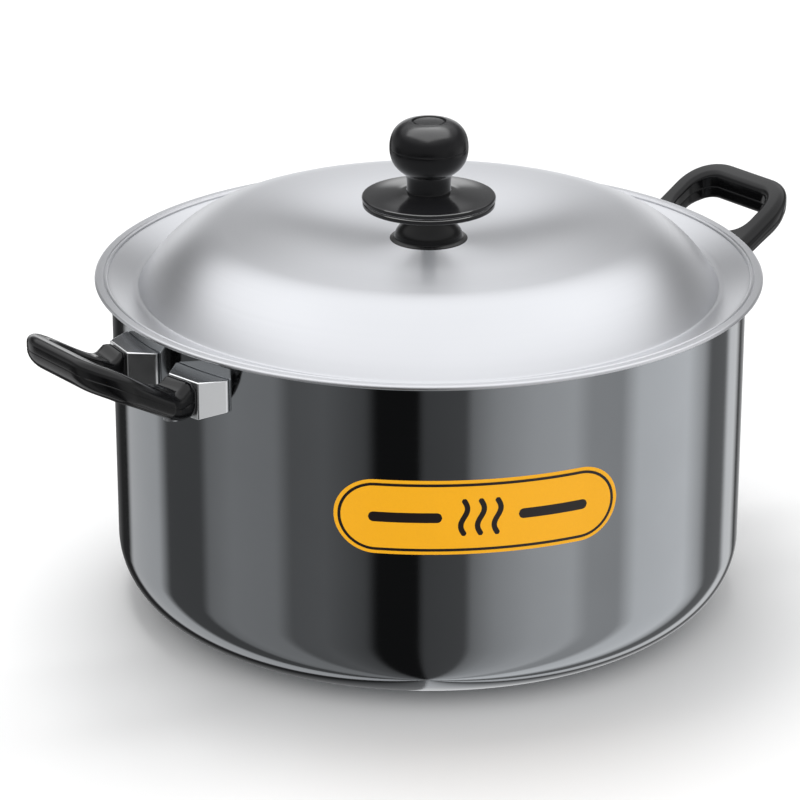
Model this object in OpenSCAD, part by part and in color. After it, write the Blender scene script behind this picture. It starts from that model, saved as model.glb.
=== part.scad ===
// Stewpot with a lift-off lid: anodised pot, two loop handles on cast brackets, pressed lid, ball knob.
// All sizes in mm. Z is up, the base rests on Z = 0 and the handles lie along X.

/* [Pot] */
// outer diameter of the wall
pot_d = 280; // [230:2:340]
// height of the rim above the base
pot_h = 147.1; // [122:0.1:178]
// thickness of the wall
wall_t = 3.2; // [2.6:0.1:4]
// thickness of the base
base_t = 4.6; // [3.2:0.1:7]
// outer radius between the wall and the base
corner_r = 30; // [20:1:36]

/* [Lid] */
// overhang of the lid flange past the wall
lid_over = 7.3; // [6:0.1:9]
// thickness of the lid sheet
lid_t = 1; // [0.8:0.1:1.2]
// clearance between the lid channel and the pot rim
lid_gap = 0.3; // [0.3:0.1:1]
// depth of the channel below the flange
channel_d = 5.6; // [4.5:0.1:7]
// radial distance from the wall to the start of the crown
crown_in = 11.5; // [10:0.5:14]
// height of the crown crest above the flange
crown_h = 20; // [16:0.1:26]
// depth of the dished seat below the crest
dish_d = 6.3; // [4:0.1:9]

/* [Knob] */
// diameter of the ball
knob_d = 34.7; // [28.5:0.1:42]
// height of the ball above its neck joint
ball_h = 23.6; // [20:0.1:28]
// diameter of the neck
neck_d = 19.4; // [16:0.1:23]
// length of the neck between the disc and the ball
neck_h = 7.9; // [6:0.1:12]
// diameter of the guard disc
disc_d = 59; // [48:0.5:72]
// thickness of the guard disc edge
disc_t = 4.8; // [4:0.1:6]
// height of the foot under the disc
foot_h = 15.2; // [12:0.1:20]
// diameter of the foot lip
foot_d = 34.4; // [31:0.1:40]

/* [Handles] */
// reach of a handle from the wall to the grip's outer face
reach = 57; // [47:0.5:69]
// width of a handle loop
loop_w = 68; // [62:0.5:82]
// width of the arms and of the grip
arm_w = 10; // [8:0.5:12]
// width of a handle's root at its bracket
root_w = 18.6; // [17:0.1:21]
// rise of the loop above level
rise_deg = 25; // [18:1:30]
// radius of the outer corners of the loop
loop_r = 20; // [17:1:23]

/* [Brackets] */
// stand-off of the bracket face from the wall
bracket_out = 11; // [9:0.5:13.5]
// width of the bracket at the wall
bracket_w = 30.8; // [26:0.2:34]
// width of the bracket at its outer face
bracket_end = 17.3; // [14.4:0.1:18.5]
// height of the bracket at its outer face
bracket_h = 16.7; // [14:0.1:20]
// distance of the bracket top below the pot rim
bracket_drop = 6.6; // [5:0.1:12]

/* [Label] */
// length of the label around the wall
label_l = 123; // [100:1:140]
// height of the label
label_h = 33; // [28:1:38]
// height of the label centre above the base
label_z = 90; // [70:1:95]
// direction of the label centre around the pot
label_deg = -119.5; // [-135:0.5:-60]

/* [Hidden] */
$fn = 96;
round_fn = 180;
cut = 1;
// pot
pot_r = pot_d / 2;
pot_in = pot_r - wall_t;
rim_r = 1.2;
edge_r = pot_in + rim_r;
label_t = 0.2;
label_edge = pot_r * sin(label_l / pot_r * 90 / PI) - label_h / 2;
// lid: the flange lies as far above the rim as the sloping channel needs to clear the rounded rim
lid_r = pot_r + lid_over;
hem_r = 0.95;
bead_r = pot_r + 3.2;
bead_d = 0.8;
step_r = bead_r - 2 * bead_d;
crease_r = pot_r - crown_in;
bend_w = 3;
bend_h = 0.9;
channel_deg = atan((channel_d - bend_h - bead_d) / (step_r - crease_r - bend_w));
flange_z = pot_h - rim_r + (rim_r + lid_gap + lid_t) / cos(channel_deg)
    + (step_r - edge_r) * tan(channel_deg) + bead_d;
channel_z = flange_z - channel_d;
crest_r = 0.7 * crease_r;
crest_z = flange_z + crown_h;
seat_r = 21;
seat_z = crest_z - dish_d;
dish_w = crest_r - seat_r;
// knob stack, from the lid seat up
disc_z = seat_z + foot_h;
cone_h = 2.3;
neck_z = disc_z + disc_t + cone_h;
ball_z = neck_z + neck_h;
top_z = ball_z + ball_h;
cap_r = 7.6;
cap_d = 0.5;
insert_r = 5;
insert_h = 16;
// knob fasteners, from the lid's underside down
stud_r = 3;
stud_in = 12;
washer_r = 9;
washer_t = 1.2;
washer_z = seat_z - lid_t - washer_t;
lock_r = 5.4;
lock_t = 1.6;
lock_z = washer_z - lock_t;
head_r = 5.5;
head_h = 3.2;
slot_w = 1.2;
slot_d = 1.5;
// brackets
bracket_top = pot_h - bracket_drop;
bracket_low = bracket_top - bracket_h;
bracket_face = pot_r + bracket_out;
wall_h = 14.5;
embed = 4;
tongue_w = 8;
tongue_h = 9;
tongue_l = 12;
rivet_r = 3;
rivet_dome = 12;
rivet_head = 2.2;
rivet_z = bracket_top - bracket_h / 2;
pin_r = 2;
pin_head_r = 3.8;
pin_head_h = 1.4;
pin_u = bracket_face + 6.5;
pin_z = bracket_low + 0.6;
// handles: u is the distance from the pot's axis
tip_u = pot_r + reach;
half_w = loop_w / 2;
grip_in = tip_u - arm_w;
arm_in = half_w - arm_w;
root_in = half_w - root_w;
hole_u = bracket_face + 11;
hole_r = loop_r / 2;
bracket_deg = asin((root_in + bracket_end / 2) / bracket_face);

// points on a cubic curve through its first and last control points
function bez(a, b, c, d, n) = [for (i = [0:n]) let (t = i / n)
    a * pow(1 - t, 3) + 3 * b * t * pow(1 - t, 2) + 3 * c * t * t * (1 - t) + d * pow(t, 3)];

// direction of a line of points at point i
function heading(p, i) = let (a = p[max(i - 1, 0)], b = p[min(i + 1, len(p) - 1)]) (b - a) / norm(b - a);

// the same line moved to its left by t
function beside(p, t) = [for (i = [0:len(p) - 1]) let (d = heading(p, i)) p[i] + t * [-d[1], d[0]]];

function backwards(p) = [for (i = [len(p) - 1:-1:0]) p[i]];

// polar angle of each bracket: side 0 is +X and side 180 is -X, end is -1 (front) or 1 (rear)
function bracket_az(side, end) = side == 0 ? end * bracket_deg : 180 - end * bracket_deg;

// height gained by a handle at u
function rise(u) = (u - bracket_face) * tan(rise_deg);

// a cylinder that stands on height z on the pot's axis
module rod(z, r, h) {
    translate([0, 0, z])
        cylinder(h = h, r = r);
}

// crossed driver slots cut up into a screw head whose lower face is at z
module cross_slot(z, l, w, d) {
    for (a = [0, 90])
        rotate([0, 0, a])
            translate([-l / 2, -w / 2, z - cut])
                cube([l, w, d + cut]);
}

// half section of the pot
module pot_section() {
    difference() {
        union() {
            square([pot_r - corner_r, 2 * corner_r]);
            translate([0, corner_r])
                square([pot_r, pot_h - rim_r - corner_r]);
            translate([pot_r - corner_r, corner_r])
                circle(r = corner_r);
            translate([edge_r, pot_h - 2 * rim_r])
                square([pot_r - rim_r - edge_r, 2 * rim_r]);
            for (r = [edge_r, pot_r - rim_r])
                translate([r, pot_h - rim_r])
                    circle(r = rim_r);
        }
        translate([0, base_t + corner_r - wall_t])
            square([pot_in, pot_h]);
        translate([0, base_t])
            square([pot_r - corner_r, pot_h]);
        translate([pot_r - corner_r, base_t + corner_r - wall_t])
            circle(r = corner_r - wall_t);
    }
}

module pot_body() {
    color("#1d2122")
    difference() {
        rotate_extrude($fn = round_fn)
            pot_section();
        for (side = [0, 180], end = [-1, 1])
            rotate([0, 0, bracket_az(side, end)])
                translate([pot_in - embed, 0, rivet_z])
                    rotate([0, 90, 0])
                        cylinder(h = wall_t + 2 * embed, r = rivet_r);
    }
}

// capsule outline laid flat beside the wall and cut through the label's film towards the axis
module label() {
    color("#f0ab00")
    rotate([0, 0, label_deg])
        intersection() {
            difference() {
                cylinder(h = pot_h, r = pot_r + label_t, $fn = round_fn);
                translate([0, 0, -cut])
                    cylinder(h = pot_h + 2 * cut, r = pot_r, $fn = round_fn);
            }
            translate([pot_r / 2, 0, label_z])
                rotate([90, 0, 90])
                    linear_extrude(height = pot_r) {
                        square([2 * label_edge, label_h], center = true);
                        for (s = [-1, 1])
                            translate([s * label_edge, 0])
                                circle(d = label_h);
                    }
        }
}

// plan of a bracket: widest at the wall, then a wedge out to its face
module bracket_plan() {
    side = [[pot_r - embed, bracket_w / 2], [pot_r + 0.5, bracket_w / 2], [bracket_face, bracket_end / 2]];
    polygon(concat(side, [for (p = backwards(side)) [p[0], -p[1]]]));
}

module bracket(side, end) {
    color("#c9cbcd")
    rotate([0, 0, bracket_az(side, end)])
        difference() {
            union() {
                intersection() {
                    translate([0, 0, bracket_low])
                        linear_extrude(height = bracket_h)
                            bracket_plan();
                    translate([0, bracket_w, 0])
                        rotate([90, 0, 0])
                            linear_extrude(height = 2 * bracket_w)
                                polygon([[pot_r - embed, bracket_top - wall_h],
                                    [pot_r + 2, bracket_top - wall_h],
                                    [bracket_face, bracket_low], [bracket_face, bracket_top],
                                    [pot_r - embed, bracket_top]]);
                }
                translate([bracket_face - cut, -tongue_w / 2, rivet_z - tongue_h / 2])
                    cube([tongue_l + cut, tongue_w, tongue_h]);
            }
            translate([0, 0, bracket_low - cut])
                cylinder(h = bracket_h + 2 * cut, r = pot_r, $fn = round_fn);
            translate([pot_in, 0, rivet_z])
                rotate([0, 90, 0])
                    cylinder(h = wall_t + bracket_out - 2, r = rivet_r);
            translate([pin_u, 0, bracket_low])
                cylinder(h = bracket_h, r = pin_r);
        }
}

module rivet(side, end) {
    color("#b9bbbd")
    rotate([0, 0, bracket_az(side, end)])
        translate([0, 0, rivet_z])
            rotate([0, 90, 0]) {
                translate([0, 0, pot_in - 1])
                    cylinder(h = wall_t + bracket_out - 2, r = rivet_r);
                intersection() {
                    translate([0, 0, pot_in - rivet_head])
                        cylinder(h = rivet_head - 0.2, r = rivet_dome);
                    translate([0, 0, pot_in - rivet_head + rivet_dome])
                        sphere(r = rivet_dome);
                }
            }
}

// side outline of a handle from the bracket out along the top, and back along the underside
side_top = concat(
    [[bracket_face - embed, bracket_top], [bracket_face + 2, bracket_top]],
    bez([bracket_face + 2.6, bracket_top - 0.4], [bracket_face + 4, bracket_top - 3],
        [bracket_face + 5.5, bracket_top - 3.6], [bracket_face + 9, bracket_top - 2.2], 8),
    bez([bracket_face + 12, bracket_top - 0.7], [bracket_face + 22, bracket_top + 4.4],
        [tip_u - 13, bracket_top + rise(tip_u - 9) - 3.2], [tip_u, bracket_top + rise(tip_u) - 4.2], 12));
side_low = concat(
    bez([tip_u, bracket_low + rise(tip_u) - 0.6], [tip_u - 3, bracket_low + rise(tip_u) - 2.4],
        [tip_u - 8, bracket_low + rise(tip_u) - 3.4], [tip_u - 13, bracket_low + rise(tip_u - 13) - 0.4], 8),
    bez([tip_u - 18, bracket_low + rise(tip_u - 18) - 0.6], [tip_u - 26, bracket_low + rise(tip_u - 26)],
        [bracket_face + 8, bracket_low + 0.3], [bracket_face + 2, bracket_low], 10),
    [[bracket_face - embed, bracket_low]]);

// plan of a handle: a rounded loop whose opening narrows to the slot between its two roots
module loop_plan() {
    difference() {
        union() {
            translate([pot_r, -half_w])
                square([tip_u - loop_r - pot_r, loop_w]);
            translate([pot_r, -half_w + loop_r])
                square([reach, loop_w - 2 * loop_r]);
            for (s = [-1, 1])
                translate([tip_u - loop_r, s * (half_w - loop_r)])
                    circle(r = loop_r);
        }
        translate([hole_u, -arm_in + hole_r])
            square([grip_in - hole_u, 2 * (arm_in - hole_r)]);
        translate([hole_u + hole_r, -arm_in])
            square([grip_in - hole_u - 2 * hole_r, 2 * arm_in]);
        for (s = [-1, 1], u = [hole_u + hole_r, grip_in - hole_r])
            translate([u, s * (arm_in - hole_r)])
                circle(r = hole_r);
        translate([pot_r - cut, -root_in])
            square([hole_u + hole_r - pot_r, 2 * root_in]);
    }
}

module handle(side) {
    color("#0d0d0e")
    rotate([0, 0, side])
        difference() {
            intersection() {
                linear_extrude(height = 2 * pot_h)
                    loop_plan();
                translate([0, loop_w, 0])
                    rotate([90, 0, 0])
                        linear_extrude(height = 2 * loop_w)
                            polygon(concat(side_top, side_low));
            }
            for (end = [-1, 1])
                rotate([0, 0, end * bracket_deg]) {
                    translate([bracket_face - reach, -bracket_w, bracket_low - cut])
                        cube([reach, 2 * bracket_w, bracket_h + 2 * cut]);
                    translate([bracket_face - cut, -tongue_w / 2, rivet_z - tongue_h / 2])
                        cube([tongue_l + cut + 0.5, tongue_w, tongue_h]);
                    translate([pin_u, 0, bracket_low - cut])
                        cylinder(h = bracket_h / 2, r = pin_r);
                    translate([pin_u, 0, bracket_low - cut])
                        cylinder(h = pin_z + pin_head_h - bracket_low + cut, r = pin_head_r);
                }
        }
}

module handle_screw(side, end) {
    color("#a9abad")
    rotate([0, 0, bracket_az(side, end)])
        translate([pin_u, 0, 0])
            difference() {
                union() {
                    rod(pin_z, pin_head_r, pin_head_h);
                    rod(pin_z, pin_r, rivet_z + tongue_h / 2 - pin_z);
                }
                cross_slot(pin_z, 4.4, 0.9, 0.8);
            }
}

// top line of the lid from the flange edge to the axis
lid_top = concat(
    [[lid_r, flange_z], [bead_r, flange_z], [bead_r - bead_d, flange_z - bead_d], [step_r, flange_z - bead_d]],
    bez([crease_r + bend_w, channel_z + bend_h], [crease_r + 1.6, channel_z + 0.2],
        [crease_r + 0.8, channel_z], [crease_r, channel_z], 4),
    bez([crease_r - 0.8, channel_z + 0.8], [crease_r - 8.5, channel_z + 13],
        [crest_r + 17.5, crest_z], [crest_r, crest_z], 20),
    bez([crest_r - 6, crest_z - 0.08], [crest_r - 0.43 * dish_w, crest_z - 0.6],
        [seat_r + 0.38 * dish_w, seat_z], [seat_r, seat_z], 14),
    [[0, seat_z]]);

module lid_shell() {
    color("#c4c7ca")
    difference() {
        rotate_extrude($fn = round_fn) {
            polygon(concat(lid_top, backwards(beside(lid_top, lid_t))));
            translate([lid_r - hem_r, flange_z - hem_r])
                circle(r = hem_r);
        }
        rod(seat_z - lid_t - cut, stud_r, lid_t + 2 * cut);
    }
}

module knob_foot() {
    color("#0d0d0e")
    difference() {
        rotate_extrude()
            polygon(concat(
                [[0, seat_z], [foot_d / 2, seat_z], [foot_d / 2 - 0.2, seat_z + 0.4]],
                bez([foot_d / 2 - 2.3, seat_z + 0.9], [foot_d / 2 - 2.3, seat_z + 0.32 * foot_h],
                    [neck_d / 2 + 1.5, seat_z + 0.42 * foot_h], [neck_d / 2 - 0.1, seat_z + 0.67 * foot_h], 14),
                [[neck_d / 2 - 0.1, disc_z], [0, disc_z]]));
        rod(seat_z - cut, stud_r, foot_h + 2 * cut);
    }
}

// the disc's edge has a small groove, and its top rises in a shallow cone to the neck
module guard_disc() {
    color("#0d0d0e")
    difference() {
        rotate_extrude()
            polygon([[0, disc_z], [disc_d / 2 - 1.2, disc_z], [disc_d / 2 - 0.3, disc_z + 0.5],
                [disc_d / 2 - 0.3, disc_z + 1.8], [disc_d / 2 - 0.9, disc_z + 2.1],
                [disc_d / 2 - 0.9, disc_z + 2.6], [disc_d / 2, disc_z + 2.9],
                [disc_d / 2, disc_z + disc_t - 0.6], [disc_d / 2 - 0.6, disc_z + disc_t],
                [neck_d / 2 + 0.6, neck_z], [0, neck_z]]);
        rod(disc_z - cut, stud_r, disc_t + cone_h + 2 * cut);
    }
}

module knob_head() {
    color("#0d0d0e")
    difference() {
        rotate_extrude()
            polygon(concat(
                [[0, neck_z], [neck_d / 2, neck_z]],
                bez([neck_d / 2, neck_z + neck_h / 3], [neck_d / 2, ball_z - 3.4],
                    [neck_d / 2 + 0.2, ball_z - 1.8], [neck_d / 2 + 0.9, ball_z - 0.5], 6),
                bez([neck_d / 2 + 1.3, ball_z], [knob_d / 2 - 3.1, ball_z + 2.2],
                    [knob_d / 2 - 0.1, ball_z + 4.9], [knob_d / 2, ball_z + 0.48 * ball_h], 14),
                bez([knob_d / 2, ball_z + 0.51 * ball_h], [knob_d / 2, top_z - 5.1],
                    [knob_d / 2 - 3.6, top_z - 0.9], [cap_r, top_z], 14),
                [[cap_r - cap_d, top_z - cap_d], [0, top_z - cap_d]]));
        rod(neck_z - cut, insert_r, insert_h + cut);
    }
}

module knob_insert() {
    color("#b08d3c")
    difference() {
        rod(neck_z, insert_r, insert_h);
        rod(neck_z - cut, stud_r, insert_h - 1 + cut);
    }
}

module knob_screw() {
    color("#a9abad")
    difference() {
        union() {
            rod(lock_z, stud_r, neck_z + stud_in - lock_z);
            rod(lock_z - head_h, head_r, head_h);
        }
        cross_slot(lock_z - head_h, 7, slot_w, slot_d);
    }
}

module knob_washer() {
    color("#b9bbbd")
    difference() {
        rod(washer_z, washer_r, washer_t);
        rod(washer_z - cut, stud_r, washer_t + 2 * cut);
    }
}

// split ring
module knob_lock_washer() {
    color("#8f9193")
    difference() {
        rod(lock_z, lock_r, lock_t);
        rod(lock_z - cut, stud_r, lock_t + 2 * cut);
        translate([0, -0.5, lock_z - cut])
            cube([lock_r + cut, 1, lock_t + 2 * cut]);
    }
}

pot_body();
label();
bracket(180, -1);  // bracket_left_front
bracket(180, 1);  // bracket_left_rear
bracket(0, -1);  // bracket_right_front
bracket(0, 1);  // bracket_right_rear
rivet(180, -1);  // rivet_left_front
rivet(180, 1);  // rivet_left_rear
rivet(0, -1);  // rivet_right_front
rivet(0, 1);  // rivet_right_rear
handle(180);  // handle_left
handle(0);  // handle_right
handle_screw(180, -1);  // screw_left_front
handle_screw(180, 1);  // screw_left_rear
handle_screw(0, -1);  // screw_right_front
handle_screw(0, 1);  // screw_right_rear
lid_shell();
knob_foot();
guard_disc();
knob_head();
knob_insert();
knob_screw();
knob_washer();
knob_lock_washer();
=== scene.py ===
import math

import bmesh
import bpy
from bpy.props import FloatProperty, FloatVectorProperty, PointerProperty
from mathutils import Matrix, Vector


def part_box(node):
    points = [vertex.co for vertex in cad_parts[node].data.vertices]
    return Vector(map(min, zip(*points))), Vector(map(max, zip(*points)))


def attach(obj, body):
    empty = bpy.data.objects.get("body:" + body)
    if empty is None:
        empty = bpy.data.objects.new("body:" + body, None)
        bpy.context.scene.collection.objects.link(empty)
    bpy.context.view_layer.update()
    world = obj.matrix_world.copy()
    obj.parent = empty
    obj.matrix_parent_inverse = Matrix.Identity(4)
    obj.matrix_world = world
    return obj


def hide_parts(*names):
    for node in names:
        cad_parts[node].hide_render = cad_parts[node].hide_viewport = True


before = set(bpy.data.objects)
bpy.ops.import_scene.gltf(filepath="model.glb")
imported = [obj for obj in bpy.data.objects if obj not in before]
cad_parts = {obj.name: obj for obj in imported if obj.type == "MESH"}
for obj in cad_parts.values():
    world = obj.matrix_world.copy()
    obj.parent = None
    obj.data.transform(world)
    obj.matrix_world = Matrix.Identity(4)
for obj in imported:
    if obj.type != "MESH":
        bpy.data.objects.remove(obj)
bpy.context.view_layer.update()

bl_info = {
    "name": "Stewpot",
    "version": (1, 0, 0),
    "blender": (4, 5, 0),
    "location": "View3D > Sidebar > Stewpot",
    "description": "Builds the looks of a stewpot with a loose lid around its packed frame",
    "category": "Object",
}

MM = 0.001


def size_of(node, axis):
    """The largest reach of a frame node along an axis, in metres."""
    low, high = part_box(node)
    return max(abs(low[axis]), abs(high[axis]))


def low_of(node):
    """The height of a frame node's lowest point."""
    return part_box(node)[0][2]


def high_of(node):
    """The height of a frame node's highest point."""
    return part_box(node)[1][2]


def srgb(code):
    """An sRGB hex colour as linear red, green, blue and alpha."""
    parts = [int(code[i:i + 2], 16) / 255 for i in (1, 3, 5)]
    return tuple(c / 12.92 if c <= 0.04045 else ((c + 0.055) / 1.055) ** 2.4 for c in parts) + (1.0,)


# ---------------------------------------------------------------- settings


def length(name, description, default, low=0.0, high=1.0):
    """A size in metres for the sidebar."""
    return FloatProperty(name=name, description=description, default=default, min=low, max=high,
                         precision=5, unit="LENGTH")


def colour(name, description, code):
    """A colour for the sidebar, given as sRGB hex."""
    return FloatVectorProperty(name=name, description=description, default=srgb(code), size=4,
                               min=0.0, max=1.0, subtype="COLOR")


class PotSizes(bpy.types.PropertyGroup):
    radius: length("Radius", "Outer radius of the wall", size_of("pot_body", 0))
    height: length("Height", "Height of the rim", high_of("pot_body"))
    wall: length("Wall", "Thickness of the wall", 3.2 * MM)
    base: length("Base", "Thickness of the base", 4.6 * MM)
    corner: length("Corner", "Outer radius between the wall and the base", 30 * MM)
    rim: length("Rim edge", "Radius of the rim's two edges", 1.2 * MM)


class LidSizes(bpy.types.PropertyGroup):
    radius: length("Radius", "Radius of the flange", size_of("lid_shell", 0))
    crest: length("Crest", "Height of the crown's crest", high_of("lid_shell"))
    crown: length("Crown", "Height of the crest above the flange", 20 * MM)
    channel: length("Channel", "Depth of the channel below the flange", 5.6 * MM)
    sheet: length("Sheet", "Thickness of the sheet", 1.0 * MM)
    dish: length("Dish", "Depth of the knob's seat below the crest",
                 high_of("lid_shell") - low_of("knob_foot"))


class KnobSizes(bpy.types.PropertyGroup):
    ball: length("Ball", "Radius of the ball", size_of("knob_head", 0))
    neck: length("Neck", "Radius of the neck", 9.7 * MM)
    neck_height: length("Neck height", "Length of the neck below the ball", 7.9 * MM)
    disc: length("Guard disc", "Radius of the guard disc", size_of("guard_disc", 0))
    foot: length("Foot", "Radius of the foot's lip", size_of("knob_foot", 0))
    ring: length("Ring", "Radius of the plain ring sunk in the top", 7.6 * MM)


class HandleSizes(bpy.types.PropertyGroup):
    tip: length("Tip", "Distance of the grip's outer face from the pot's axis", size_of("handle_right", 0))
    half_width: length("Half width", "Half the width of a loop", size_of("handle_right", 1))
    arm: length("Arm", "Width of the arms and the grip", 10 * MM)
    root: length("Root", "Width of a root at its bracket", 18.6 * MM)
    corner: length("Corner", "Radius of the loop's outer corners", 20 * MM)
    rise: FloatProperty(name="Rise", description="Slope of the loop",
                        default=math.radians(25), unit="ROTATION")


class BracketSizes(bpy.types.PropertyGroup):
    top: length("Top", "Height of the bracket's top face", high_of("bracket_right_front"))
    out: length("Stand-off", "Stand-off of the bracket's face from the wall", 11 * MM)
    height: length("Height", "Height of the bracket at its face", 16.7 * MM)
    wall_height: length("Wall height", "Height of the bracket at the wall", 14.5 * MM)
    width: length("Width", "Width of the bracket at the wall", 30.8 * MM)
    end: length("End", "Width of the bracket at its face", 17.3 * MM)


class LabelSizes(bpy.types.PropertyGroup):
    half_length: length("Half length", "Half the length of the label, measured flat", 59.56 * MM)
    height: length("Height", "Height of the label", high_of("label") - low_of("label"))
    centre: length("Centre", "Height of the label's centre", (high_of("label") + low_of("label")) / 2)
    film: length("Film", "Thickness of the film", 0.2 * MM)
    facing: FloatProperty(name="Facing", description="Direction of the label's centre",
                          default=math.radians(-119.5), unit="ROTATION")


class Finishes(bpy.types.PropertyGroup):
    anodised: colour("Anodised", "Hard-anodised aluminium of the pot", "#9A9DA0")
    steel: colour("Lid steel", "Satin stainless steel of the lid", "#CFD0D3")
    casting: colour("Casting", "Polished aluminium casting of the brackets", "#F0F1F2")
    phenolic: colour("Phenolic", "Black phenolic moulding", "#0A0A0B")
    amber: colour("Amber", "Ground colour of the label", "#FFB400")
    ink: colour("Ink", "Ink of the label's keyline and motif", "#1C1412")
    floor: colour("Floor", "Pale floor", "#F4F4F4")


class StageSettings(bpy.types.PropertyGroup):
    distance: length("Distance", "Distance of the camera from its target", 1.6, high=10)
    elevation: FloatProperty(name="Elevation", description="Height of the camera above level",
                             default=math.radians(21.21), unit="ROTATION")
    turn: FloatProperty(name="Turn", description="Turn of the view from the handles' line",
                        default=math.radians(38), unit="ROTATION")
    aside: length("Aside", "Sideways place of the camera's target", -12.65 * MM, low=-1.0)
    target: length("Target height", "Height of the camera's target", 87.8 * MM)
    lens: FloatProperty(name="Lens", description="Focal length in millimetres", default=160.5)
    overhead: FloatProperty(name="Overhead", description="Power of the overhead light in watts", default=13)
    kicker: FloatProperty(name="Knob light", description="Power of the knob's light in watts", default=80)


GROUPS = {
    "stewpot_pot": PotSizes,
    "stewpot_lid": LidSizes,
    "stewpot_knob": KnobSizes,
    "stewpot_handle": HandleSizes,
    "stewpot_bracket": BracketSizes,
    "stewpot_label": LabelSizes,
    "stewpot_finish": Finishes,
    "stewpot_stage": StageSettings,
}


# ---------------------------------------------------------------- mesh tools


def curve(a, b, c, d, steps):
    """Points on a cubic curve from a to d, with b and c as its handles."""
    points = []
    for i in range(steps + 1):
        t = i / steps
        s = 1 - t
        points.append(tuple(s ** 3 * a[k] + 3 * s * s * t * b[k] + 3 * s * t * t * c[k] + t ** 3 * d[k]
                            for k in range(len(a))))
    return points


def arc(centre, radius, start, end, steps):
    """Points round a centre from one angle to another, in degrees."""
    angles = [math.radians(start + (end - start) * i / steps) for i in range(steps + 1)]
    return [(centre[0] + radius * math.cos(a), centre[1] + radius * math.sin(a)) for a in angles]


def line(a, b, steps):
    """Points from a to b, both included."""
    return [tuple(a[k] + (b[k] - a[k]) * i / steps for k in range(len(a))) for i in range(steps + 1)]


def beside(points, gap):
    """The same outline moved to its left by gap."""
    moved = []
    for i, (x, y) in enumerate(points):
        a, b = points[max(i - 1, 0)], points[min(i + 1, len(points) - 1)]
        along = Vector((b[0] - a[0], b[1] - a[1])).normalized()
        moved.append((x - gap * along.y, y + gap * along.x))
    return moved


def height_at(u, outline):
    """The outline's height at u, where the outline runs along u."""
    points = sorted(outline)
    if u <= points[0][0]:
        return points[0][1]
    for (a, low), (b, high) in zip(points, points[1:]):
        if u <= b:
            return low + (high - low) * (u - a) / max(b - a, 1e-9)
    return points[-1][1]


def piece(name, shape, finish, body, replaced=(), turn=0.0, sharp=40):
    """A smooth-shaded object that rides on a body and stands for some frame nodes."""
    verts, faces = shape
    mesh = bpy.data.meshes.new(name)
    mesh.from_pydata([tuple(v) for v in verts], [], faces)
    mesh.transform(Matrix.Rotation(turn, 4, "Z"))
    settle(mesh, sharp)
    made = bpy.data.objects.new(name, mesh)
    bpy.context.collection.objects.link(made)
    made.data.materials.append(finish)
    made.modifiers.new("Even normals", "WEIGHTED_NORMAL").keep_sharp = True
    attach(made, body)
    if replaced:
        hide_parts(*replaced)
    return made


def settle(mesh, sharp):
    """Merges doubled points, turns the faces outwards and marks the sharp edges."""
    shape = bmesh.new()
    shape.from_mesh(mesh)
    bmesh.ops.remove_doubles(shape, verts=shape.verts, dist=1e-6)
    bmesh.ops.recalc_face_normals(shape, faces=shape.faces)
    shape.to_mesh(mesh)
    shape.free()
    mesh.shade_smooth()
    mesh.set_sharp_from_angle(angle=math.radians(sharp))


def lathe(outline, steps=256):
    """Points and faces of an outline of (radius, height) turned round the axis."""
    verts = [(r * math.cos(2 * math.pi * i / steps), r * math.sin(2 * math.pi * i / steps), z)
             for i in range(steps) for r, z in outline]
    rows = len(outline)
    faces = []
    for i in range(steps):
        a, b = i * rows, (i + 1) % steps * rows
        for k in range(rows - 1):
            faces.append((a + k, b + k, b + k + 1, a + k + 1))
    return verts, faces


def loft(rings):
    """Points and faces of closed rings joined in order, with both ends capped."""
    count = len(rings[0])
    verts = [p for ring in rings for p in ring]
    faces = []
    for i in range(len(rings) - 1):
        for k in range(count):
            n = (k + 1) % count
            faces.append((i * count + k, i * count + n, (i + 1) * count + n, (i + 1) * count + k))
    faces.append(tuple(range(count)))
    faces.append(tuple(range(len(verts) - count, len(verts))))
    return verts, faces


# ---------------------------------------------------------------- finishes


def node(tree, kind, inputs=None, stops=None, **settings):
    """Adds a node. An input given as a socket is linked and any other is set; stops are a ramp's colours."""
    made = tree.nodes.new(kind)
    for key, value in settings.items():
        setattr(made, key, value)
    for key, value in (inputs or {}).items():
        if isinstance(value, bpy.types.NodeSocket):
            tree.links.new(value, made.inputs[key])
        else:
            made.inputs[key].default_value = value
    if stops:
        ramp = made.color_ramp
        while len(ramp.elements) < len(stops):
            ramp.elements.new(0.5)
        for element, (place, shade) in zip(ramp.elements, stops):
            element.position = place
            element.color = shade
    return made


def blank(name):
    """A new material, its node tree, and the place on the object that its patterns follow."""
    made = bpy.data.materials.new(name)
    made.use_nodes = True
    tree = made.node_tree
    tree.nodes.clear()
    return made, tree, node(tree, "ShaderNodeTexCoord").outputs["Object"]


def tinted(shade, factor):
    """A linear colour made lighter or darker."""
    return tuple(min(1.0, c * factor) for c in shade[:3]) + (1.0,)


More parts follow.
